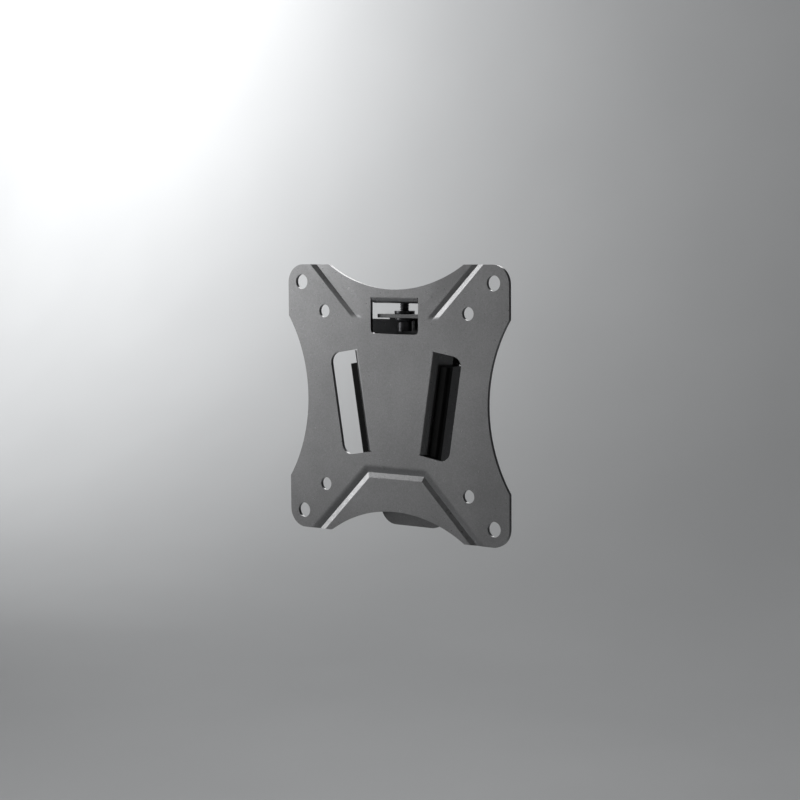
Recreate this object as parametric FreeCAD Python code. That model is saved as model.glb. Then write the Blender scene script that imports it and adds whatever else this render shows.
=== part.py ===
import FreeCAD, Part
import math
import os

# Low-profile monitor wall mount in millimetres: a screen plate hangs by two wedge tabs in the
# lined rails of a wall bracket, and one lock screw pulls it down.
# The origin is on the wall plane, behind the middle of the screen plate's hole pattern.
# X runs across, Z is up, and Y points into the wall, so the screen side faces -Y.

# Overall
mount_depth = 14.5
moving_clearance = 0.3
overrun = 4.0

# Screen plate: sheet, outline and holes
plate_sheet = 1.5
plate_side = 115.0
plate_corner_radius = 8.0
waist_inset = 10.5
waist_radius = 64.5
large_pattern = 100.0
large_hole_dia = 6.4
small_pattern = 75.0
small_hole_dia = 5.6
sheet_bend_radius = 1.0

# Screen plate: flap between the upper ears, leaning back a little between two pressed grooves
flap_height = 23.0
flap_fold_width = 44.2
flap_lean = 0.3
flap_arch = 0.25
flap_shoulder_share = 0.7
flap_run_in = 2.0
flap_groove_depth = 0.3
flap_groove_flank = 2.9
flap_edge_radius = 1.0
flap_foot_radius = 0.8
flap_crown_radius = 8.0
flap_shoulder_radius = 300.0

# Screen plate: panel between the lower ears, framed by a shallow pressed groove
panel_height = 26.6
panel_top_width = 29.4
panel_side_turn = 45.0
groove_depth = 0.5
groove_outer_width = 2.0
groove_inner_width = 2.2
groove_outer_radius = 12.0
groove_bend_radius = 0.25

# Screen plate: the two wedge tabs and the slots that they are bent from
wedge_angle = 9.3
tab_root_spread = 32.4
tab_middle_height = -0.2
slot_length = 44.2
slot_width = 15.1
slot_corner_radius = 4.5
tab_reach = 9.3
tab_lean = 15.0
tab_end_gap = 0.4

# Screen plate: window and the lock tab bent back from its upper edge
window_width = 24.8
window_height = 12.9
window_corner_radius = 1.8
lock_tab_bridge = 5.8
lock_tab_width = 24.0
lock_tab_reach = 12.6
lock_hole_dia = 4.7

# Wall bracket: sheet and outline
bracket_sheet = 1.6
bracket_bend_radius = 1.0
shoulder_corner_radius = 6.0
lobe_width = 34.8
lobe_show = 7.7
lobe_side_height = 19.5
lobe_corner_radius = 8.0
wall_hole_dia = 6.5
wall_hole_top_margin = 12.0
wall_hole_foot_margin = 10.7

# Wall bracket: rails
rail_offset = 6.5
rail_lip_depth = 3.5
rail_bend_radius = 0.6
rail_top_height = 15.0
rail_foot_height = -27.0
rail_relief = 0.4

# Wall bracket: shelf for the lock nut
shelf_width = 24.0
shelf_front_depth = 3.0
tongue_corner_radius = 2.0

# Rail liners
liner_wall = 0.7
liner_fit = 0.05
liner_front_corner = 1.2
liner_edge_radius = 0.25
liner_leg_depth = 5.8
liner_hook_length = 0.2

# Lock screw, its washer and the rivet nut
lock_axis_depth = 7.5
lock_gap = 3.3
screw_dia = 3.9
screw_length = 12.4
screw_head_dia = 7.6
screw_head_height = 2.6
screw_dome = 0.8
screw_point = 0.5
recess_span = 3.8
recess_arm = 0.9
recess_depth = 1.6
washer_dia = 8.4
washer_bore_dia = 4.3
washer_thickness = 0.8
nut_bore_dia = 4.0
nut_body_dia = 6.0
nut_body_length = 7.4
nut_flange_dia = 8.6
nut_flange_thickness = 1.3
nut_bulge_dia = 8.0
nut_bulge_height = 1.8
nut_fit = 0.05

# Worked out from the sizes above
UP = FreeCAD.Vector(0, 0, 1)
BACK = FreeCAD.Vector(0, 1, 0)
ACROSS = FreeCAD.Vector(1, 0, 0)
ORIGIN = FreeCAD.Vector(0, 0, 0)
plate_half = plate_side / 2
waist_half = plate_half - waist_inset
outer_bend_radius = sheet_bend_radius + plate_sheet
flap_fold_height = plate_half - flap_height
flap_slope = flap_lean / flap_height
panel_drop = plate_half - panel_height
groove_margin = 2 * groove_outer_width + overrun / 2
lock_tab_height = waist_half - lock_tab_bridge
window_sill_height = lock_tab_height - window_height
shelf_height = lock_tab_height - lock_gap - nut_flange_thickness
shoulder_height = shelf_height - bracket_bend_radius - bracket_sheet
lobe_drop = waist_half + lobe_show


def at(x, depth, z):
    """Return the point at x and z that lies depth behind the plate's front plane."""
    return FreeCAD.Vector(x, depth - mount_depth, z)


def corner_arc(before, corner, after, radius):
    """Return the start, middle and end of the arc that rounds one corner."""
    to_before = (before - corner).normalize()
    to_after = (after - corner).normalize()
    half_angle = to_before.getAngle(to_after) / 2
    bisector = (to_before + to_after).normalize()
    cut = radius / math.tan(half_angle)
    middle = corner + bisector * (radius / math.sin(half_angle) - radius)
    return corner + to_before * cut, middle, corner + to_after * cut


def rounded_wire(corners):
    """Return the closed wire through (point, radius) corners, with an arc at each radius."""
    edges = []
    stops = []
    for index, (corner, radius) in enumerate(corners):
        before = corners[index - 1][0]
        after = corners[(index + 1) % len(corners)][0]
        if radius > 0:
            stops.append(corner_arc(before, corner, after, radius))
        else:
            stops.append((corner, corner, corner))
    for index, (start, middle, end) in enumerate(stops):
        if not start.isEqual(end, 1e-6):
            edges.append(Part.Arc(start, middle, end).toShape())
        following = stops[(index + 1) % len(stops)][0]
        if not end.isEqual(following, 1e-6):
            edges.append(Part.makeLine(end, following))
    return Part.Wire(edges)


def prism(corners, sweep):
    """Return the solid that a rounded outline makes when it is swept along a vector."""
    return Part.Face(rounded_wire(corners)).extrude(sweep)


def bent_sheet(path, thickness, inner_radii, place):
    """Return the outline of a bent sheet as (point, radius) corners.

    path lists (u, v) points along one face, and the sheet lies to the right of that way.
    inner_radii gives the inside radius of each bend in turn, and place turns (u, v) into a point.
    """
    points = [FreeCAD.Vector(u, v, 0) for u, v in path]
    ways = [(points[i + 1] - points[i]).normalize() for i in range(len(points) - 1)]
    rights = [FreeCAD.Vector(way.y, -way.x, 0) for way in ways]
    face = [(points[0], 0)]
    other = [(points[0] + rights[0] * thickness, 0)]
    for i in range(1, len(points) - 1):
        half_turn = rights[i - 1].getAngle(rights[i]) / 2
        mitre = (rights[i - 1] + rights[i]).normalize() * (thickness / math.cos(half_turn))
        turns_right = ways[i].dot(rights[i - 1]) > 0
        inner_radius = inner_radii[i - 1]
        outside = inner_radius + thickness
        face.append((points[i], outside if turns_right else inner_radius))
        other.append((points[i] + mitre, inner_radius if turns_right else outside))
    face.append((points[-1], 0))
    other.append((points[-1] + rights[-1] * thickness, 0))
    return [(place(point.x, point.y), radius) for point, radius in face + other[::-1]]


def upright_hole(x, depth, z, dia, length):
    """Return a round cutter along Z that starts at the given point and runs up."""
    return Part.makeCylinder(dia / 2, length, at(x, depth, z), UP)


def through_hole(x, z, dia):
    """Return a round cutter along Y that passes through the whole mount."""
    return Part.makeCylinder(dia / 2, mount_depth + 2 * overrun, at(x, -overrun, z), BACK)


def wedge_point(side, across, along, depth):
    """Return a point given beside a wedge tab's root line: side is -1 at the left, 1 at the right.

    across runs outwards from the root line and along runs up it.
    """
    lean = math.radians(wedge_angle)
    x = tab_root_spread / 2 + across * math.cos(lean) + along * math.sin(lean)
    z = tab_middle_height - across * math.sin(lean) + along * math.cos(lean)
    return at(side * x, depth, z)


def wedge_prism(side, section, start, end):
    """Return a solid whose (across, depth, radius) section runs along a wedge line."""
    corners = [(wedge_point(side, u, start, v), radius) for u, v, radius in section]
    sweep = wedge_point(side, 0, end, 0) - wedge_point(side, 0, start, 0)
    return prism(corners, sweep)


def tab_face_offset(depth, distance):
    """Return how far across a line at this distance outside a wedge tab's outer face lies."""
    lean = math.radians(tab_lean)
    turn = math.pi / 2 - lean
    bend_across = outer_bend_radius * math.sin(turn)
    bend_depth = outer_bend_radius * (1 - math.cos(turn))
    return bend_across + (depth - bend_depth) * math.tan(lean) + distance / math.cos(lean)


def rail_span(height):
    """Return how far along the wedge line the rail's outer face reaches this height."""
    lean = math.radians(wedge_angle)
    return (height - tab_middle_height + rail_offset * math.sin(lean)) / math.cos(lean)


def side_offset(height):
    """Return X where the rail's outer face line passes this height."""
    return wedge_point(1, rail_offset, rail_span(height), 0).x


def plate_outline():
    """Return the prism of the screen plate's outline: four ears joined by four hollow arcs."""
    waist_centre = waist_half + waist_radius
    ear_start = math.sqrt(waist_radius ** 2 - (waist_centre - plate_half) ** 2)
    turn = FreeCAD.Rotation(BACK, 90)
    waist = [at(-ear_start, -overrun, plate_half), at(0, -overrun, waist_half),
             at(ear_start, -overrun, plate_half)]
    corner = at(plate_half, -overrun, plate_half)
    ear_end = at(plate_half, -overrun, ear_start)
    ear = corner_arc(waist[2], corner, ear_end, plate_corner_radius)
    edges = []
    for _ in range(4):
        edges.append(Part.Arc(*waist).toShape())
        edges.append(Part.makeLine(waist[2], ear[0]))
        edges.append(Part.Arc(*ear).toShape())
        edges.append(Part.makeLine(ear[2], ear_end))
        waist = [turn.multVec(point) for point in waist]
        ear = [turn.multVec(point) for point in ear]
        ear_end = turn.multVec(ear_end)
    return Part.Face(Part.Wire(edges)).extrude(BACK * (2 * overrun + mount_depth))


def flap_bends(reach):
    """Return the bends across the flap at a height above its fold, each as start, middle and end."""
    growth = reach / flap_height
    z = flap_fold_height + reach
    ear_x = flap_fold_width / 2 + reach
    foot_x = ear_x - flap_groove_flank
    crown_x = foot_x - flap_groove_flank
    lean = flap_lean * growth
    crown_depth = lean + flap_arch * growth
    half = [(plate_half + overrun, 0, 0), (ear_x, 0, flap_edge_radius),
            (foot_x, crown_depth + flap_groove_depth, flap_foot_radius),
            (crown_x, crown_depth, flap_crown_radius),
            (crown_x * flap_shoulder_share, lean, flap_shoulder_radius)]
    line = [(at(-x, depth, z), radius) for x, depth, radius in half]
    line += [(at(x, depth, z), radius) for x, depth, radius in half[::-1]]
    return [corner_arc(line[i - 1][0], line[i][0], line[i + 1][0], line[i][1])
            for i in range(1, len(line) - 1)]


def flap_section(bends, bent):
    """Return the sheet's section through these bends, with arcs where it is bent."""
    z = bends[0][0].z
    edge_x = plate_half + overrun
    edges = []
    for shift in (ORIGIN, BACK * plate_sheet):
        last = at(-edge_x, 0, z) + shift
        for start, middle, end in bends:
            edges.append(Part.makeLine(last, start + shift))
            if bent:
                edges.append(Part.Arc(start + shift, middle + shift, end + shift).toShape())
            else:
                edges.append(Part.makeLine(start + shift, end + shift))
            last = end + shift
        edges.append(Part.makeLine(last, at(edge_x, 0, z) + shift))
    for x in (-edge_x, edge_x):
        edges.append(Part.makeLine(at(x, 0, z), at(x, plate_sheet, z)))
    return Part.Wire(Part.__sortEdges__(edges))


def plate_flap():
    """Return the upper part of the plate: the flap and its grooves, which start at the fold."""
    run_in = flap_bends(flap_run_in)
    fold = [[at(point.x - math.copysign(flap_run_in, point.x), 0, flap_fold_height) for point in bend]
            for bend in run_in]
    sections = [flap_section(fold, False), flap_section(run_in, True),
                flap_section(flap_bends(flap_height + overrun), True)]
    return Part.makeLoft(sections, True, True)


def plate_middle():
    """Return the flat middle of the plate, from above the panel's groove up to the flap's fold."""
    low = at(-plate_half - overrun, 0, groove_margin - panel_drop)
    height = flap_fold_height + panel_drop - groove_margin
    return Part.makeBox(plate_side + 2 * overrun, plate_sheet, height, low)


def plate_panel():
    """Return the lower part of the plate: a panel framed by a groove along three lines."""
    path = [(-plate_side, 0), (-groove_outer_width, 0), (0, groove_depth),
            (groove_inner_width, 0), (plate_side, 0)]
    radii = [groove_outer_radius, groove_bend_radius, groove_bend_radius]
    corner_x = panel_top_width / 2
    half_turn = math.radians(panel_side_turn) / 2
    fall = panel_height + overrun
    top_x = corner_x + groove_margin * math.tan(half_turn)
    foot_x = corner_x - fall * math.tan(half_turn)
    top_z = groove_margin - panel_drop
    foot_z = -panel_drop - fall
    edge_x = plate_half + overrun
    pieces = []
    for side in (-1, 0, 1):
        inward = FreeCAD.Vector(-side, 0, -1).normalize()
        along = inward.cross(BACK)
        corner = at(side * corner_x, 0, -panel_drop)

        def place(u, v, start=corner - along * plate_side, way=inward):
            return start + way * u + BACK * v

        sheet = prism(bent_sheet(path[::-1], plate_sheet, radii[::-1], place),
                      along * (2 * plate_side))
        if side == 0:
            sector = [(-top_x, top_z), (top_x, top_z), (foot_x, foot_z), (-foot_x, foot_z)]
        else:
            sector = [(side * top_x, top_z), (side * edge_x, top_z),
                      (side * edge_x, foot_z), (side * foot_x, foot_z)]
        corners = [(at(x, -overrun, z), 0) for x, z in sector]
        pieces.append(sheet.common(prism(corners, BACK * mount_depth)))
    return pieces[0].multiFuse(pieces[1:])


def wedge_tab(side):
    """Return one wedge tab, bent back from its slot's inner edge and leaning outwards."""
    tip_across = tab_face_offset(tab_reach, 0)
    root_across = tab_face_offset(0, 0)
    path = [(-overrun, 0), (root_across, 0), (tip_across, tab_reach)]
    half = slot_length / 2 - tab_end_gap

    def place(u, v):
        return wedge_point(side, u, -half, v)

    outline = bent_sheet(path[::-1], plate_sheet, [sheet_bend_radius], place)
    return prism(outline, wedge_point(side, 0, half, 0) - wedge_point(side, 0, -half, 0))


def wedge_slot(side):
    """Return the cutter of the slot that a wedge tab leaves."""
    half = slot_length / 2
    corners = [(0, -half, 0), (slot_width, -half, slot_corner_radius),
               (slot_width, half, slot_corner_radius), (0, half, 0)]
    outline = [(wedge_point(side, u, w, -overrun), radius) for u, w, radius in corners]
    return prism(outline, BACK * (2 * overrun))


def flap_front(z):
    """Return how far the flap's front face lies behind the front plane at this height."""
    return flap_slope * (z - flap_fold_height)


def lock_tab():
    """Return the tab bent back from the window's upper edge, with the lock screw's hole."""
    start_z = lock_tab_height + outer_bend_radius + overrun / 2
    path = [(lock_tab_reach, lock_tab_height), (flap_front(lock_tab_height), lock_tab_height),
            (flap_front(start_z), start_z)]

    def place(depth, z):
        return at(-lock_tab_width / 2, depth, z)

    tab = prism(bent_sheet(path, plate_sheet, [sheet_bend_radius], place), ACROSS * lock_tab_width)
    half = lock_tab_width / 2
    plan = [(at(-half, -overrun, 0), 0), (at(half, -overrun, 0), 0),
            (at(half, lock_tab_reach, 0), tongue_corner_radius),
            (at(-half, lock_tab_reach, 0), tongue_corner_radius)]
    tab = tab.common(prism(plan, UP * plate_side))
    return tab.cut(upright_hole(0, lock_axis_depth, 0, lock_hole_dia, plate_side))


def window():
    """Return the window's cutter, which ends where the lock tab's bend begins."""
    half_bend = (math.pi / 2 - math.atan(flap_slope)) / 2
    top = lock_tab_height + outer_bend_radius * math.tan(half_bend) * math.cos(math.atan(flap_slope))
    half = window_width / 2
    corners = [(at(-half, -overrun, window_sill_height), window_corner_radius),
               (at(half, -overrun, window_sill_height), window_corner_radius),
               (at(half, -overrun, top), 0), (at(-half, -overrun, top), 0)]
    return prism(corners, BACK * (2 * overrun))


def vesa_plate():
    """Return the screen plate, one pressing."""
    sheet = plate_middle().multiFuse([plate_flap(), plate_panel()]).common(plate_outline())
    cutters = [wedge_slot(-1), wedge_slot(1), window()]
    for spacing, dia in ((large_pattern, large_hole_dia), (small_pattern, small_hole_dia)):
        for x_side in (-1, 1):
            for z_side in (-1, 1):
                cutters.append(through_hole(x_side * spacing / 2, z_side * spacing / 2, dia))
    sheet = sheet.cut(Part.makeCompound(cutters))
    return sheet.multiFuse([wedge_tab(-1), wedge_tab(1), lock_tab()]).removeSplitter()


def rail(side):
    """Return one rail of the bracket: a wall bent forward, with a lip that hooks over a wedge tab."""
    foot_across = rail_offset - 2 * (rail_bend_radius + bracket_sheet)
    path = [(foot_across, mount_depth), (rail_offset, mount_depth),
            (rail_offset, rail_lip_depth), (0, rail_lip_depth)]
    start = rail_span(rail_foot_height)
    end = rail_span(rail_top_height)

    def place(u, v):
        return wedge_point(side, u, start, v)

    sweep = wedge_point(side, 0, end, 0) - wedge_point(side, 0, start, 0)
    formed = prism(bent_sheet(path, bracket_sheet, [rail_bend_radius] * 2, place), sweep)
    lip_gap = moving_clearance + liner_wall + liner_fit
    lip_back = rail_lip_depth + bracket_sheet + rail_bend_radius
    tab_space = [(-overrun, 0, 0), (tab_face_offset(0, lip_gap), 0, 0),
                 (tab_face_offset(lip_back, lip_gap), lip_back, 0), (-overrun, lip_back, 0)]
    return formed.cut(wedge_prism(side, tab_space, start - overrun, end + overrun))


def rail_strip(side):
    """Return the cutter that frees the back plate's edge where a rail is bent up."""
    inner = rail_offset - rail_bend_radius - bracket_sheet
    strip = [(inner, -overrun, 0), (rail_offset + overrun, -overrun, 0),
             (rail_offset + overrun, mount_depth + overrun, 0), (inner, mount_depth + overrun, 0)]
    return wedge_prism(side, strip, rail_span(rail_foot_height) - rail_relief,
                       rail_span(rail_top_height) + rail_relief)


def back_plate():
    """Return the bracket's flat back plate, with the rounded lobe at its foot."""
    half_outline = [(side_offset(shoulder_height), shoulder_height, shoulder_corner_radius),
                    (side_offset(rail_foot_height), rail_foot_height, 0),
                    (lobe_width / 2, lobe_side_height - lobe_drop, 0),
                    (lobe_width / 2, -lobe_drop, lobe_corner_radius)]
    mirrored = [(-x, z, radius) for x, z, radius in half_outline[::-1]]
    depth = mount_depth - bracket_sheet
    corners = [(at(x, depth, z), radius) for x, z, radius in half_outline + mirrored]
    return prism(corners, BACK * bracket_sheet)


def shelf():
    """Return the tongue bent forward at the bracket's top, which carries the rivet nut."""
    foot_z = shoulder_height - overrun
    path = [(shelf_front_depth, shelf_height), (mount_depth, shelf_height), (mount_depth, foot_z)]

    def place(depth, z):
        return at(-shelf_width / 2, depth, z)

    outline = bent_sheet(path, bracket_sheet, [bracket_bend_radius], place)
    half = shelf_width / 2
    plan = [(at(-half, shelf_front_depth, 0), tongue_corner_radius),
            (at(half, shelf_front_depth, 0), tongue_corner_radius),
            (at(half, mount_depth, 0), 0), (at(-half, mount_depth, 0), 0)]
    tongue = prism(outline, ACROSS * shelf_width).common(prism(plan, UP * plate_side))
    return tongue.cut(upright_hole(0, lock_axis_depth, 0, nut_body_dia + 2 * nut_fit, plate_side))


def wall_bracket():
    """Return the wall bracket, one pressing."""
    sheet = back_plate().cut(Part.makeCompound([rail_strip(-1), rail_strip(1)]))
    for z in (shoulder_height - wall_hole_top_margin, wall_hole_foot_margin - lobe_drop):
        sheet = sheet.cut(through_hole(0, z, wall_hole_dia))
    return sheet.multiFuse([rail(-1), rail(1), shelf()]).removeSplitter()


def rail_liner(side):
    """Return one plastic liner, clipped over a rail's lip."""
    front = rail_lip_depth - liner_wall
    lip_front = rail_lip_depth - liner_fit
    hook = rail_lip_depth + bracket_sheet + liner_hook_length
    inner_leg = rail_offset + liner_fit
    outer_leg = inner_leg + liner_wall
    web_gap = moving_clearance + liner_wall
    fit_radius = rail_bend_radius + bracket_sheet + liner_fit
    section = [(tab_face_offset(hook, moving_clearance), hook, 0),
               (tab_face_offset(front, moving_clearance), front, liner_edge_radius),
               (outer_leg, front, liner_front_corner),
               (outer_leg, liner_leg_depth, 0),
               (inner_leg, liner_leg_depth, 0),
               (inner_leg, lip_front, fit_radius),
               (tab_face_offset(lip_front, web_gap), lip_front, 0),
               (tab_face_offset(hook, web_gap), hook, 0)]
    return wedge_prism(side, section, rail_span(rail_foot_height), rail_span(rail_top_height))


def turned(profile):
    """Return the solid that a (radius, z) profile makes around the lock screw's axis."""
    points = [at(radius, lock_axis_depth, z) for radius, z in profile]
    wire = Part.makePolygon(points + points[:1])
    return Part.Face(wire).revolve(at(0, lock_axis_depth, 0), UP, 360)


def rivet_nut():
    """Return the threaded insert set in the shelf: flange above, collapsed bulge below."""
    bore = nut_bore_dia / 2
    body = nut_body_dia / 2
    top = shelf_height + nut_flange_thickness
    under = shelf_height - bracket_sheet
    foot = shelf_height - nut_body_length
    return turned([(bore, top), (nut_flange_dia / 2, top), (nut_flange_dia / 2, shelf_height),
                   (body, shelf_height), (body, under), (nut_bulge_dia / 2, under),
                   (nut_bulge_dia / 2, under - nut_bulge_height / 2), (body, under - nut_bulge_height),
                   (body, foot), (bore, foot)])


def lock_washer():
    """Return the flat washer between the lock tab and the screw's head."""
    low = lock_tab_height + plate_sheet
    high = low + washer_thickness
    return turned([(washer_bore_dia / 2, low), (washer_dia / 2, low),
                   (washer_dia / 2, high), (washer_bore_dia / 2, high)])


def lock_screw():
    """Return the pan-head lock screw with its cross recess."""
    seat = lock_tab_height + plate_sheet + washer_thickness
    head = screw_head_dia / 2
    shank = screw_dia / 2
    tip = seat - screw_length
    crown = seat + screw_head_height
    rim = at(head, lock_axis_depth, crown - screw_dome)
    crown_point = at(0, lock_axis_depth, crown)
    dome_radius = (head ** 2 + screw_dome ** 2) / (2 * screw_dome)
    bulge = math.asin(head / dome_radius) / 2
    dome_middle = at(dome_radius * math.sin(bulge), lock_axis_depth,
                     crown - dome_radius * (1 - math.cos(bulge)))
    below = [(0, tip), (shank - screw_point, tip), (shank, tip + screw_point),
             (shank, seat), (head, seat)]
    points = [at(radius, lock_axis_depth, z) for radius, z in below] + [rim]
    edges = [Part.makeLine(points[i], points[i + 1]) for i in range(len(points) - 1)]
    edges.append(Part.Arc(rim, dome_middle, crown_point).toShape())
    edges.append(Part.makeLine(crown_point, points[0]))
    body = Part.Face(Part.Wire(edges)).revolve(at(0, lock_axis_depth, 0), UP, 360)
    floor = crown - recess_depth
    arms = []
    for wide, deep in ((recess_span, recess_arm), (recess_arm, recess_span)):
        corner = at(-wide / 2, lock_axis_depth - deep / 2, floor)
        arms.append(Part.makeBox(wide, deep, screw_head_height, corner))
    return body.cut(arms[0].fuse(arms[1]))


def main():
    """Build every piece and write one file for each."""
    pieces = {
        "vesa_plate": vesa_plate(),
        "wall_bracket": wall_bracket(),
        "left_rail_liner": rail_liner(-1),
        "right_rail_liner": rail_liner(1),
        "rivet_nut": rivet_nut(),
        "lock_washer": lock_washer(),
        "lock_screw": lock_screw(),
    }
    os.makedirs("parts", exist_ok=True)
    for name, shape in pieces.items():
        solids = len(shape.Solids)
        print(f"{name}: solids {solids}, valid {shape.isValid()}, volume {shape.Volume:.1f}")
        shape.exportStep(f"parts/{name}.step")


main()
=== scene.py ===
import logging
import math
from collections.abc import Sequence
from dataclasses import dataclass, field
from enum import Enum

import bmesh
import bpy
from mathutils import Matrix, Vector


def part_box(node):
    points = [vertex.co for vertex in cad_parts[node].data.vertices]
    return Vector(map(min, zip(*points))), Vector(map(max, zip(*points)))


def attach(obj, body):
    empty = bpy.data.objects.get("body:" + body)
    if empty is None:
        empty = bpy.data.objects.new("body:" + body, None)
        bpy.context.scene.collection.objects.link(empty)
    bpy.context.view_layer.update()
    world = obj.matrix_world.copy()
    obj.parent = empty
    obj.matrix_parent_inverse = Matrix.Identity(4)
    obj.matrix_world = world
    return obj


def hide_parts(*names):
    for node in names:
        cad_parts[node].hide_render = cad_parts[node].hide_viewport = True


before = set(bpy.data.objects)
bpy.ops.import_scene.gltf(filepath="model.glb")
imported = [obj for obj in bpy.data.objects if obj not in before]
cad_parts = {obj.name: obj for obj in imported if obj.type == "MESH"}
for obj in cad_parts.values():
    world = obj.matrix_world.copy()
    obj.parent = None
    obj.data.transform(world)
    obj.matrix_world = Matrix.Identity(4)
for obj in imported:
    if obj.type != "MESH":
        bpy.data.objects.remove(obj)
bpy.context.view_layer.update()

LOG = logging.getLogger("wall_mount")

# How the copied CAD meshes are cleaned, rounded and shaded
MERGE_DISTANCE = 2e-6
FLAT_DEGREES = 0.4
ROUND_PROFILE = 0.5
FLAT_FACE_WEIGHT = 90

# X and Z of the mitred corners of the groove round the lower panel
PANEL_MITRES = ((-0.0147, -0.0309), (0.0147, -0.0309))


class Slot(Enum):
    """Material slots of the record."""

    POWDER_COAT = "powder_coat"
    DARK_POWDER_COAT = "dark_powder_coat"
    BLACK_NYLON = "black_nylon"
    DARK_ZINC = "dark_zinc"


class Body(Enum):
    """Bodies of the record that a piece rides on."""

    BRACKET = "bracket"
    SCREEN_PLATE = "screen_plate"
    WASHER = "washer"
    SCREW = "screw"


class ShaderSketch:
    """Small helper that lays out the nodes of one material."""

    def __init__(self, name: str) -> None:
        """Starts a material that holds one Principled shader.

        Args:
            name: name of the material.
        """
        self.material = bpy.data.materials.new(name)
        self.material.use_nodes = True
        self.tree = self.material.node_tree
        self.shader = self.tree.nodes["Principled BSDF"]

    def add(self, kind: str, **values: object) -> bpy.types.Node:
        """Adds a node and sets its inputs.

        Args:
            kind: Blender's name of the node type.
            values: input values, named as the sockets with _ for a space.

        Returns:
            The new node.
        """
        node = self.tree.nodes.new(kind)
        for key, value in values.items():
            node.inputs[key.replace("_", " ")].default_value = value
        return node

    def link(self, source: bpy.types.NodeSocket, target: bpy.types.NodeSocket) -> None:
        """Joins an output to an input."""
        self.tree.links.new(source, target)

    def place(self) -> bpy.types.NodeSocket:
        """Gives the Object coordinates that every pattern reads."""
        return self.add("ShaderNodeTexCoord").outputs["Object"]

    def noise(self, place: bpy.types.NodeSocket, scale: float, detail: float,
              grit: float = 0.55) -> bpy.types.NodeSocket:
        """Adds a noise pattern.

        Args:
            place: coordinates that it reads.
            scale: cells per metre.
            detail: octaves of finer noise.
            grit: strength of the finer octaves.

        Returns:
            The noise as a socket from 0 to 1.
        """
        node = self.add("ShaderNodeTexNoise", Scale=scale, Detail=detail, Roughness=grit)
        self.link(place, node.inputs["Vector"])
        return node.outputs[0]

    def spread(self, value: bpy.types.NodeSocket, low: float, high: float,
               start: float = 0.3, end: float = 0.7) -> bpy.types.NodeSocket:
        """Maps a pattern to a range of values.

        Args:
            value: the pattern.
            low: result at the pattern's start.
            high: result at the pattern's end.
            start: pattern value that gives low.
            end: pattern value that gives high.

        Returns:
            The mapped socket.
        """
        node = self.add("ShaderNodeMapRange", From_Min=start, From_Max=end,
                        To_Min=low, To_Max=high)
        self.link(value, node.inputs["Value"])
        return node.outputs["Result"]

    def tint(self, value: bpy.types.NodeSocket, dark: tuple[float, ...],
             light: tuple[float, ...], start: float = 0.3,
             end: float = 0.7) -> bpy.types.NodeSocket:
        """Maps a pattern to a colour between two tones.

        Args:
            value: the pattern.
            dark: linear colour at the start.
            light: linear colour at the end.
            start: pattern value that gives dark.
            end: pattern value that gives light.

        Returns:
            The colour socket.
        """
        ramp = self.add("ShaderNodeValToRGB")
        first, last = ramp.color_ramp.elements
        first.position, first.color = start, (*dark, 1.0)
        last.position, last.color = end, (*light, 1.0)
        self.link(value, ramp.inputs["Fac"])
        return ramp.outputs["Color"]

    def sum_of(self, one: bpy.types.NodeSocket, two: bpy.types.NodeSocket,
               share: float) -> bpy.types.NodeSocket:
        """Adds a share of a second pattern to the first.

        Args:
            one: first pattern.
            two: second pattern.
            share: weight of the second.

        Returns:
            The summed socket.
        """
        node = self.add("ShaderNodeMath")
        node.operation = "MULTIPLY_ADD"
        self.link(two, node.inputs[0])
        node.inputs[1].default_value = share
        self.link(one, node.inputs[2])
        return node.outputs[0]

    def raise_by(self, height: bpy.types.NodeSocket, distance: float, strength: float) -> None:
        """Raises the surface by a pattern.

        Args:
            height: the pattern.
            distance: height of the relief in metres.
            strength: how much of it shows.
        """
        bump = self.add("ShaderNodeBump", Distance=distance, Strength=strength)
        self.link(height, bump.inputs["Height"])
        self.link(bump.outputs["Normal"], self.shader.inputs["Normal"])


@dataclass(frozen=True)
class PowderCoat:
    """Satin grey powder coat with a fine grain, on pressed steel."""

    name: str = "satin_grey_powder"
    dark: tuple[float, float, float] = (0.215, 0.216, 0.219)
    light: tuple[float, float, float] = (0.275, 0.276, 0.280)
    metallic: float = 0.94
    smooth: float = 0.27
    rough: float = 0.34
    grain_scale: float = 1700.0
    peel_scale: float = 620.0
    cloud_scale: float = 38.0
    octaves: float = 2.0
    grain_share: float = 1.2
    tone_start: float = 0.78
    tone_end: float = 1.42
    peel_share: float = 0.8
    relief: float = 0.00003
    relief_strength: float = 0.55

    def material(self) -> bpy.types.Material:
        """Builds the coat: fine grain, orange peel and a faint cloudiness.

        Returns:
            The material.
        """
        sketch = ShaderSketch(self.name)
        place = sketch.place()
        grain = sketch.noise(place, self.grain_scale, self.octaves)
        peel = sketch.noise(place, self.peel_scale, self.octaves)
        cloud = sketch.noise(place, self.cloud_scale, self.octaves)
        mottle = sketch.sum_of(cloud, grain, self.grain_share)
        tone = sketch.spread(mottle, 0.0, 1.0, self.tone_start, self.tone_end)
        colour = sketch.tint(tone, self.dark, self.light, 0.0, 1.0)
        gloss = sketch.spread(peel, self.smooth, self.rough)
        sketch.link(colour, sketch.shader.inputs["Base Color"])
        sketch.link(gloss, sketch.shader.inputs["Roughness"])
        sketch.shader.inputs["Metallic"].default_value = self.metallic
        bumps = sketch.sum_of(grain, peel, self.peel_share)
        sketch.raise_by(bumps, self.relief, self.relief_strength)
        return sketch.material


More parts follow.
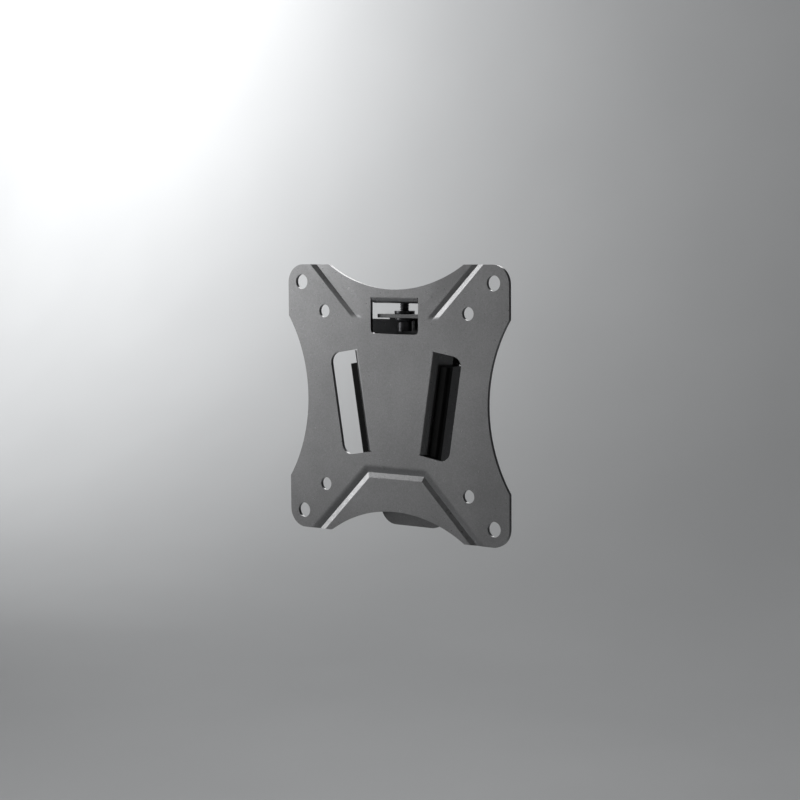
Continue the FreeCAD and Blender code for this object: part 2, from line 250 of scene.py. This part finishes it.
@dataclass(frozen=True)
class MouldedNylon:
    """Matt black moulded nylon with a fine spark texture."""

    name: str = "black_moulded_nylon"
    dark: tuple[float, float, float] = (0.002, 0.002, 0.002)
    light: tuple[float, float, float] = (0.005, 0.005, 0.005)
    smooth: float = 0.36
    rough: float = 0.48
    gloss: float = 0.09
    spark_scale: float = 3400.0
    spark_octaves: float = 2.0
    flow_scale: float = 240.0
    flow_octaves: float = 3.0
    relief: float = 0.00002
    relief_strength: float = 0.5

    def material(self) -> bpy.types.Material:
        """Builds the nylon: spark texture with faint flow streaks.

        Returns:
            The material.
        """
        sketch = ShaderSketch(self.name)
        place = sketch.place()
        spark = sketch.noise(place, self.spark_scale, self.spark_octaves)
        flow = sketch.noise(place, self.flow_scale, self.flow_octaves)
        colour = sketch.tint(flow, self.dark, self.light)
        sheen = sketch.spread(spark, self.smooth, self.rough)
        sketch.link(colour, sketch.shader.inputs["Base Color"])
        sketch.link(sheen, sketch.shader.inputs["Roughness"])
        sketch.shader.inputs["Specular IOR Level"].default_value = self.gloss
        sketch.raise_by(spark, self.relief, self.relief_strength)
        return sketch.material


@dataclass(frozen=True)
class BlackZinc:
    """Black zinc plate on turned or formed steel."""

    name: str = "black_zinc_plate"
    dark: tuple[float, float, float] = (0.060, 0.060, 0.064)
    light: tuple[float, float, float] = (0.130, 0.131, 0.138)
    smooth: float = 0.26
    rough: float = 0.42
    metallic: float = 0.9
    turn_scale: float = 5200.0
    turn_octaves: float = 2.0
    turn_stretch: tuple[float, float, float] = (0.12, 0.12, 1.0)
    cloud_scale: float = 420.0
    cloud_octaves: float = 3.0
    relief: float = 0.00001
    relief_strength: float = 0.5

    def material(self) -> bpy.types.Material:
        """Builds the plating: turning lines along the axis and cloudy tone.

        Returns:
            The material.
        """
        sketch = ShaderSketch(self.name)
        place = sketch.place()
        stretch = sketch.add("ShaderNodeMapping", Scale=self.turn_stretch)
        sketch.link(place, stretch.inputs["Vector"])
        lines = sketch.noise(stretch.outputs["Vector"], self.turn_scale, self.turn_octaves)
        cloud = sketch.noise(place, self.cloud_scale, self.cloud_octaves)
        colour = sketch.tint(cloud, self.dark, self.light)
        gloss = sketch.spread(cloud, self.smooth, self.rough)
        sketch.link(colour, sketch.shader.inputs["Base Color"])
        sketch.link(gloss, sketch.shader.inputs["Roughness"])
        sketch.shader.inputs["Metallic"].default_value = self.metallic
        sketch.raise_by(lines, self.relief, self.relief_strength)
        return sketch.material


@dataclass(frozen=True)
class StudioPaint:
    """Plain pale paint of the floor and backdrop."""

    name: str = "studio_paint"
    dark: tuple[float, float, float] = (0.495, 0.503, 0.510)
    light: tuple[float, float, float] = (0.525, 0.533, 0.540)
    rough: float = 0.9
    cloud_scale: float = 3.0
    cloud_octaves: float = 2.0

    def material(self) -> bpy.types.Material:
        """Builds the paint with a faint unevenness.

        Returns:
            The material.
        """
        sketch = ShaderSketch(self.name)
        cloud = sketch.noise(sketch.place(), self.cloud_scale, self.cloud_octaves)
        colour = sketch.tint(cloud, self.dark, self.light)
        sketch.link(colour, sketch.shader.inputs["Base Color"])
        sketch.shader.inputs["Roughness"].default_value = self.rough
        return sketch.material


def merged_copy(node: str) -> bmesh.types.BMesh:
    """Copies a CAD node's triangles and joins them into clean faces.

    Args:
        node: name of the CAD node.

    Returns:
        The merged mesh, for the caller to shape and free.
    """
    mesh = bmesh.new()
    mesh.from_mesh(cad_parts[node].data)
    bmesh.ops.remove_doubles(mesh, verts=mesh.verts, dist=MERGE_DISTANCE)
    bmesh.ops.dissolve_limit(mesh, angle_limit=math.radians(FLAT_DEGREES),
                             verts=mesh.verts, edges=mesh.edges)
    return mesh


def soften_edges(mesh: bmesh.types.BMesh, width: float, segments: int,
                 sharp_degrees: float) -> None:
    """Rounds the sharp edges of a closed mesh.

    Args:
        mesh: the mesh.
        width: width of the rounding in metres.
        segments: faces across the rounding.
        sharp_degrees: angle between faces from which an edge counts as sharp.
    """
    limit = math.radians(sharp_degrees)
    sharp = [edge for edge in mesh.edges
             if edge.is_manifold and edge.calc_face_angle() > limit]
    bmesh.ops.bevel(mesh, geom=sharp, offset=width, offset_type="OFFSET", segments=segments,
                    profile=ROUND_PROFILE, affect="EDGES", clamp_overlap=True, material=-1)


def as_piece(mesh: bmesh.types.BMesh, name: str, body: Body,
             material: bpy.types.Material, crease_degrees: float = 40.0,
             creases: Sequence[int] = ()) -> bpy.types.Object:
    """Turns a mesh into a smooth-shaded piece that rides on a body.

    Args:
        mesh: the mesh, which is freed.
        name: name of the piece.
        body: body that it rides on.
        material: its material.
        crease_degrees: angle from which an edge stays sharp.
        creases: indices of further edges that stay sharp.

    Returns:
        The piece.
    """
    data = bpy.data.meshes.new(name)
    mesh.to_mesh(data)
    mesh.free()
    data.shade_smooth()
    data.set_sharp_from_angle(angle=math.radians(crease_degrees))
    for index in creases:
        data.edges[index].use_edge_sharp = True
    data.materials.append(material)
    piece = bpy.data.objects.new(name, data)
    bpy.context.scene.collection.objects.link(piece)
    even = piece.modifiers.new("even_shading", "WEIGHTED_NORMAL")
    even.keep_sharp = True
    even.weight = FLAT_FACE_WEIGHT
    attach(piece, body.value)
    return piece


@dataclass
class SheetPressing:
    """A pressed and coated sheet piece that stands for one CAD node."""

    node: str
    name: str
    body: Body
    slot: Slot
    coat: bpy.types.Material
    edge_round: float = 0.00032
    segments: int = 3
    sharp_degrees: float = 50.0
    mitres: tuple[tuple[float, float], ...] = ()
    mitre_reach: float = 0.004
    mitre_degrees: float = 15.0
    least_tilt: float = 0.05

    def mitre_edges(self, mesh: bmesh.types.BMesh) -> list[int]:
        """Finds the edges where two groove flanks meet at a mitre.

        Args:
            mesh: the mesh of the pressing.

        Returns:
            The indices of the edges.
        """
        mesh.edges.index_update()
        mesh.normal_update()
        found: list[int] = []
        for edge in mesh.edges:
            middle = (edge.verts[0].co + edge.verts[1].co) / 2.0
            near = any(math.hypot(middle.x - x, middle.z - z) < self.mitre_reach
                       for x, z in self.mitres)
            if not near or not edge.is_manifold:
                continue
            one, two = (Vector((face.normal.x, face.normal.z)) for face in edge.link_faces)
            tilted = min(one.length, two.length) > self.least_tilt
            if tilted and one.angle(two) > math.radians(self.mitre_degrees):
                found.append(edge.index)
        return found

    def build(self) -> bpy.types.Object:
        """Rounds the sheared edges of the CAD shape and coats it.

        Returns:
            The piece.
        """
        mesh = merged_copy(self.node)
        soften_edges(mesh, self.edge_round, self.segments, self.sharp_degrees)
        creases = self.mitre_edges(mesh)
        piece = as_piece(mesh, self.name, self.body, self.coat, creases=creases)
        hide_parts(self.node)
        return piece


@dataclass
class RailLiner:
    """A nylon liner clipped over one rail lip."""

    node: str
    name: str
    nylon: bpy.types.Material
    edge_round: float = 0.00012
    segments: int = 2
    sharp_degrees: float = 50.0

    def build(self) -> bpy.types.Object:
        """Rounds the moulded edges of the CAD shape.

        Returns:
            The piece.
        """
        mesh = merged_copy(self.node)
        soften_edges(mesh, self.edge_round, self.segments, self.sharp_degrees)
        piece = as_piece(mesh, self.name, Body.BRACKET, self.nylon)
        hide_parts(self.node)
        return piece


@dataclass
class LockSet:
    """The lock screw with its thread, its washer and the rivet nut."""

    zinc: bpy.types.Material
    axis_x: float = 0.0
    axis_y: float = -0.007
    thread_pitch: float = 0.0007
    thread_root: float = 0.00160
    thread_crest: float = 0.00194
    thread_land: float = 0.00008
    thread_sink: float = 0.00006
    thread_half_share: float = 0.46
    thread_start_share: float = 0.6
    thread_steps: int = 32
    shank_steps: int = 48
    head_overlap: float = 0.0003
    head_cut: float = 0.00002
    point_length: float = 0.0005
    point_taper: float = 0.7
    join_distance: float = 1e-7
    edge_round: float = 0.00014
    segments: int = 2
    sharp_degrees: float = 40.0
    crease_degrees: float = 30.0

    def head_base(self) -> float:
        """Height of the underside of the screw's head, on top of the washer."""
        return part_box("lock_washer")[1].z

    def screw_foot(self) -> float:
        """Height of the screw's lower end."""
        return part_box("lock_screw")[0].z

    def head(self) -> bmesh.types.BMesh:
        """Cuts the head with its cross recess off the CAD screw.

        Returns:
            The closed and rounded head.
        """
        mesh = merged_copy("lock_screw")
        level = self.head_base() - self.head_cut
        cut = bmesh.ops.bisect_plane(mesh, geom=mesh.verts[:] + mesh.edges[:] + mesh.faces[:],
                                     plane_co=(0.0, 0.0, level), plane_no=(0.0, 0.0, 1.0),
                                     clear_inner=True)
        rim = [part for part in cut["geom_cut"] if isinstance(part, bmesh.types.BMEdge)]
        bmesh.ops.contextual_create(mesh, geom=rim)
        soften_edges(mesh, self.edge_round, self.segments, self.sharp_degrees)
        return mesh

    def shank(self, mesh: bmesh.types.BMesh) -> None:
        """Turns the core of the shank with its pointed end.

        Args:
            mesh: the mesh that the shank is added to.
        """
        foot, top = self.screw_foot(), self.head_base() + self.head_overlap
        tip = self.thread_root - self.point_length * self.point_taper
        profile = ((0.0, foot), (tip, foot), (self.thread_root, foot + self.point_length),
                   (self.thread_root, top), (0.0, top))
        corners = [mesh.verts.new((self.axis_x + radius, self.axis_y, height))
                   for radius, height in profile]
        edges = [mesh.edges.new(pair) for pair in zip(corners, corners[1:])]
        bmesh.ops.spin(mesh, geom=corners + edges, cent=(self.axis_x, self.axis_y, 0.0),
                       axis=(0.0, 0.0, 1.0), angle=math.tau, steps=self.shank_steps,
                       use_merge=True)

    def thread(self, mesh: bmesh.types.BMesh) -> None:
        """Winds the thread ridge round the core.

        Args:
            mesh: the mesh that the thread is added to.
        """
        start = self.screw_foot() + self.point_length * self.thread_start_share
        turns = math.floor((self.head_base() - start) / self.thread_pitch)
        inner = self.thread_root - self.thread_sink
        half = self.thread_pitch * self.thread_half_share
        section = ((inner, -half), (self.thread_crest, -self.thread_land),
                   (self.thread_crest, self.thread_land), (inner, half))
        corners = [mesh.verts.new((self.axis_x + radius, self.axis_y, start + half + height))
                   for radius, height in section]
        face = mesh.faces.new(corners)
        steps = turns * self.thread_steps
        rise = self.thread_pitch / self.thread_steps
        bmesh.ops.spin(mesh, geom=[face, *face.edges, *face.verts],
                       cent=(self.axis_x, self.axis_y, 0.0), axis=(0.0, 0.0, 1.0),
                       dvec=(0.0, 0.0, rise), angle=math.tau * turns, steps=steps,
                       use_merge=False)

    def screw(self) -> bpy.types.Object:
        """Builds the lock screw from head, shank and thread.

        Returns:
            The piece.
        """
        mesh = self.head()
        turned = bmesh.new()
        self.shank(turned)
        self.thread(turned)
        bmesh.ops.remove_doubles(turned, verts=turned.verts, dist=self.join_distance)
        bmesh.ops.recalc_face_normals(turned, faces=turned.faces)
        part = bpy.data.meshes.new("turned_part")
        turned.to_mesh(part)
        turned.free()
        mesh.from_mesh(part)
        bpy.data.meshes.remove(part)
        piece = as_piece(mesh, "threaded_lock_screw", Body.SCREW, self.zinc,
                         self.crease_degrees)
        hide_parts("lock_screw")
        return piece

    def washer(self) -> bpy.types.Object:
        """Builds the stamped washer with rolled edges.

        Returns:
            The piece.
        """
        mesh = merged_copy("lock_washer")
        soften_edges(mesh, self.edge_round, self.segments, self.sharp_degrees)
        piece = as_piece(mesh, "stamped_lock_washer", Body.WASHER, self.zinc,
                         self.crease_degrees)
        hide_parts("lock_washer")
        return piece

    def nut(self) -> bpy.types.Object:
        """Builds the rivet nut with rounded flange and bulge.

        Returns:
            The piece.
        """
        mesh = merged_copy("rivet_nut")
        soften_edges(mesh, self.edge_round, self.segments, self.sharp_degrees)
        piece = as_piece(mesh, "set_rivet_nut", Body.BRACKET, self.zinc,
                         self.crease_degrees)
        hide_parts("rivet_nut")
        return piece


def direction(azimuth: float, elevation: float) -> Vector:
    """Gives the unit vector from the mount towards a place in the room.

    Args:
        azimuth: degrees from the screen side, counted towards +X.
        elevation: degrees above level.

    Returns:
        The direction.
    """
    turn, rise = math.radians(azimuth), math.radians(elevation)
    level = math.cos(rise)
    return Vector((math.sin(turn) * level, -math.cos(turn) * level, math.sin(rise)))


@dataclass(frozen=True)
class Softbox:
    """One soft studio light, aimed at the mount from a direction."""

    name: str
    azimuth: float
    elevation: float
    distance: float
    width: float
    height: float
    watts: float
    aim: tuple[float, float, float] = (0.0, -0.0145, 0.0)

    def build(self) -> bpy.types.Object:
        """Hangs the light and turns it to its aim.

        Returns:
            The light.
        """
        data = bpy.data.lights.new(self.name, "AREA")
        data.shape = "RECTANGLE"
        data.size, data.size_y = self.width, self.height
        data.energy = self.watts
        light = bpy.data.objects.new(self.name, data)
        away = direction(self.azimuth, self.elevation)
        light.location = Vector(self.aim) + away * self.distance
        light.rotation_euler = away.to_track_quat("Z", "Y").to_euler()
        bpy.context.scene.collection.objects.link(light)
        return light


@dataclass
class Studio:
    """Pale floor that sweeps up into a backdrop, soft lights and the camera."""

    paint: bpy.types.Material
    floor_height: float = -0.42
    back_distance: float = 1.9
    half_width: float = 3.2
    front_reach: float = 2.4
    sweep_radius: float = 0.9
    sweep_steps: int = 24
    wall_height: float = 2.6
    lens: float = 81.27
    sensor: float = 36.0
    clip: tuple[float, float] = (0.01, 20.0)
    azimuth: float = 36.65
    elevation: float = 4.95
    roll: float = -0.42
    distance: float = 0.758
    target: tuple[float, float, float] = (0.0028, -0.0145, 0.00075)
    world_grey: float = 0.04
    lights: tuple[Softbox, ...] = field(default_factory=lambda: (
        Softbox("key_left", -55.0, 12.5, 1.1, 0.40, 0.60, 2.7),
        Softbox("key_skirt", -48.0, 4.0, 1.1, 0.62, 0.62, 0.53),
        Softbox("ridge_light", -37.0, 25.0, 1.1, 0.26, 0.26, 0.60),
        Softbox("side_strip", -77.0, 30.0, 1.1, 0.30, 0.50, 2.0),
        Softbox("low_fill", -35.0, -7.0, 1.1, 0.40, 0.30, 0.12),
        Softbox("top_front", 0.0, 58.0, 1.2, 0.5, 0.5, 0.6),
        Softbox("back_fill", 218.0, 38.0, 1.1, 0.9, 0.5, 4.5),
        Softbox("wall_wash", -15.0, 20.0, 0.9, 0.5, 0.5, 28.5, (-2.0, 1.9, 0.64)),
    ))

    def sweep(self) -> bpy.types.Object:
        """Builds the floor, its curve and the wall as one sheet.

        Returns:
            The staged backdrop.
        """
        mesh = bmesh.new()
        low, radius = self.floor_height, self.sweep_radius
        bend_y = self.back_distance - radius
        front = mesh.verts.new((-self.half_width, -self.front_reach, low))
        bend = mesh.verts.new((-self.half_width, bend_y, low))
        mesh.edges.new((front, bend))
        curve = bmesh.ops.spin(mesh, geom=[bend], cent=(-self.half_width, bend_y, low + radius),
                               axis=(1.0, 0.0, 0.0), angle=math.radians(90.0),
                               steps=self.sweep_steps, use_merge=False)
        end = next(part for part in curve["geom_last"] if isinstance(part, bmesh.types.BMVert))
        top = mesh.verts.new((-self.half_width, self.back_distance, low + self.wall_height))
        mesh.edges.new((end, top))
        across = bmesh.ops.extrude_edge_only(mesh, edges=mesh.edges[:])
        moved = [part for part in across["geom"] if isinstance(part, bmesh.types.BMVert)]
        bmesh.ops.translate(mesh, verts=moved, vec=(self.half_width * 2.0, 0.0, 0.0))
        bmesh.ops.recalc_face_normals(mesh, faces=mesh.faces)
        data = bpy.data.meshes.new("studio_sweep")
        mesh.to_mesh(data)
        mesh.free()
        data.shade_smooth()
        data.materials.append(self.paint)
        sheet = bpy.data.objects.new("studio_sweep", data)
        bpy.context.scene.collection.objects.link(sheet)
        return sheet

    def camera(self) -> bpy.types.Object:
        """Places the camera at the photograph's view.

        Returns:
            The camera.
        """
        data = bpy.data.cameras.new("view_camera")
        data.lens, data.sensor_width = self.lens, self.sensor
        data.clip_start, data.clip_end = self.clip
        view = bpy.data.objects.new("view_camera", data)
        turn, lean = math.radians(self.azimuth), math.radians(self.roll)
        back = direction(self.azimuth, self.elevation)
        right = Vector((math.cos(turn), math.sin(turn), 0.0))
        over = back.cross(right)
        side = right * math.cos(lean) + over * math.sin(lean)
        upper = over * math.cos(lean) - right * math.sin(lean)
        place = Vector(self.target) + back * self.distance
        view.matrix_world = Matrix((
            (side.x, upper.x, back.x, place.x),
            (side.y, upper.y, back.y, place.y),
            (side.z, upper.z, back.z, place.z),
            (0.0, 0.0, 0.0, 1.0)))
        bpy.context.scene.collection.objects.link(view)
        bpy.context.scene.camera = view
        return view

    def surroundings(self) -> None:
        """Gives the room its even grey light."""
        world = bpy.data.worlds.new("studio_air")
        world.use_nodes = True
        air = world.node_tree.nodes["Background"]
        grey = self.world_grey
        air.inputs["Color"].default_value = (grey, grey, grey, 1.0)
        air.inputs["Strength"].default_value = 1.0
        bpy.context.scene.world = world
        bpy.context.scene.view_settings.view_transform = "Standard"

    def build(self) -> list[bpy.types.Object]:
        """Builds the studio in order.

        Returns:
            The backdrop, the lights and the camera.
        """
        self.surroundings()
        return [self.camera(), self.sweep(), *(light.build() for light in self.lights)]


def main() -> None:
    """Builds the mount and its studio, and reports each piece."""
    logging.basicConfig(level=logging.INFO)
    coat = PowderCoat().material()
    # Painted shade: the bracket's coat is a darker copy of the plate's satin powder coat, standing
    # in for the shade the bracket sits in behind the plate
    painted_shade_coat = PowderCoat(name="satin_powder_painted_shade", dark=(0.120, 0.121, 0.123),
                           light=(0.155, 0.156, 0.159)).material()
    nylon = MouldedNylon().material()
    zinc = BlackZinc().material()
    lock = LockSet(zinc)
    pieces = [
        SheetPressing("vesa_plate", "screen_plate_pressing", Body.SCREEN_PLATE, Slot.POWDER_COAT,
                      coat, mitres=PANEL_MITRES).build(),
        # The bracket gets the darker copy of the coat, which is painted shade
        SheetPressing("wall_bracket", "wall_bracket_pressing", Body.BRACKET, Slot.DARK_POWDER_COAT,
                      painted_shade_coat).build(),
        RailLiner("left_rail_liner", "left_nylon_liner", nylon).build(),
        RailLiner("right_rail_liner", "right_nylon_liner", nylon).build(),
        lock.nut(),
        lock.washer(),
        lock.screw(),
    ]
    for piece in pieces:
        LOG.info("piece %s: %d faces", piece.name, len(piece.data.polygons))
    for thing in Studio(StudioPaint().material()).build():
        LOG.info("studio %s", thing.name)


if __name__ == "__main__":
    main()
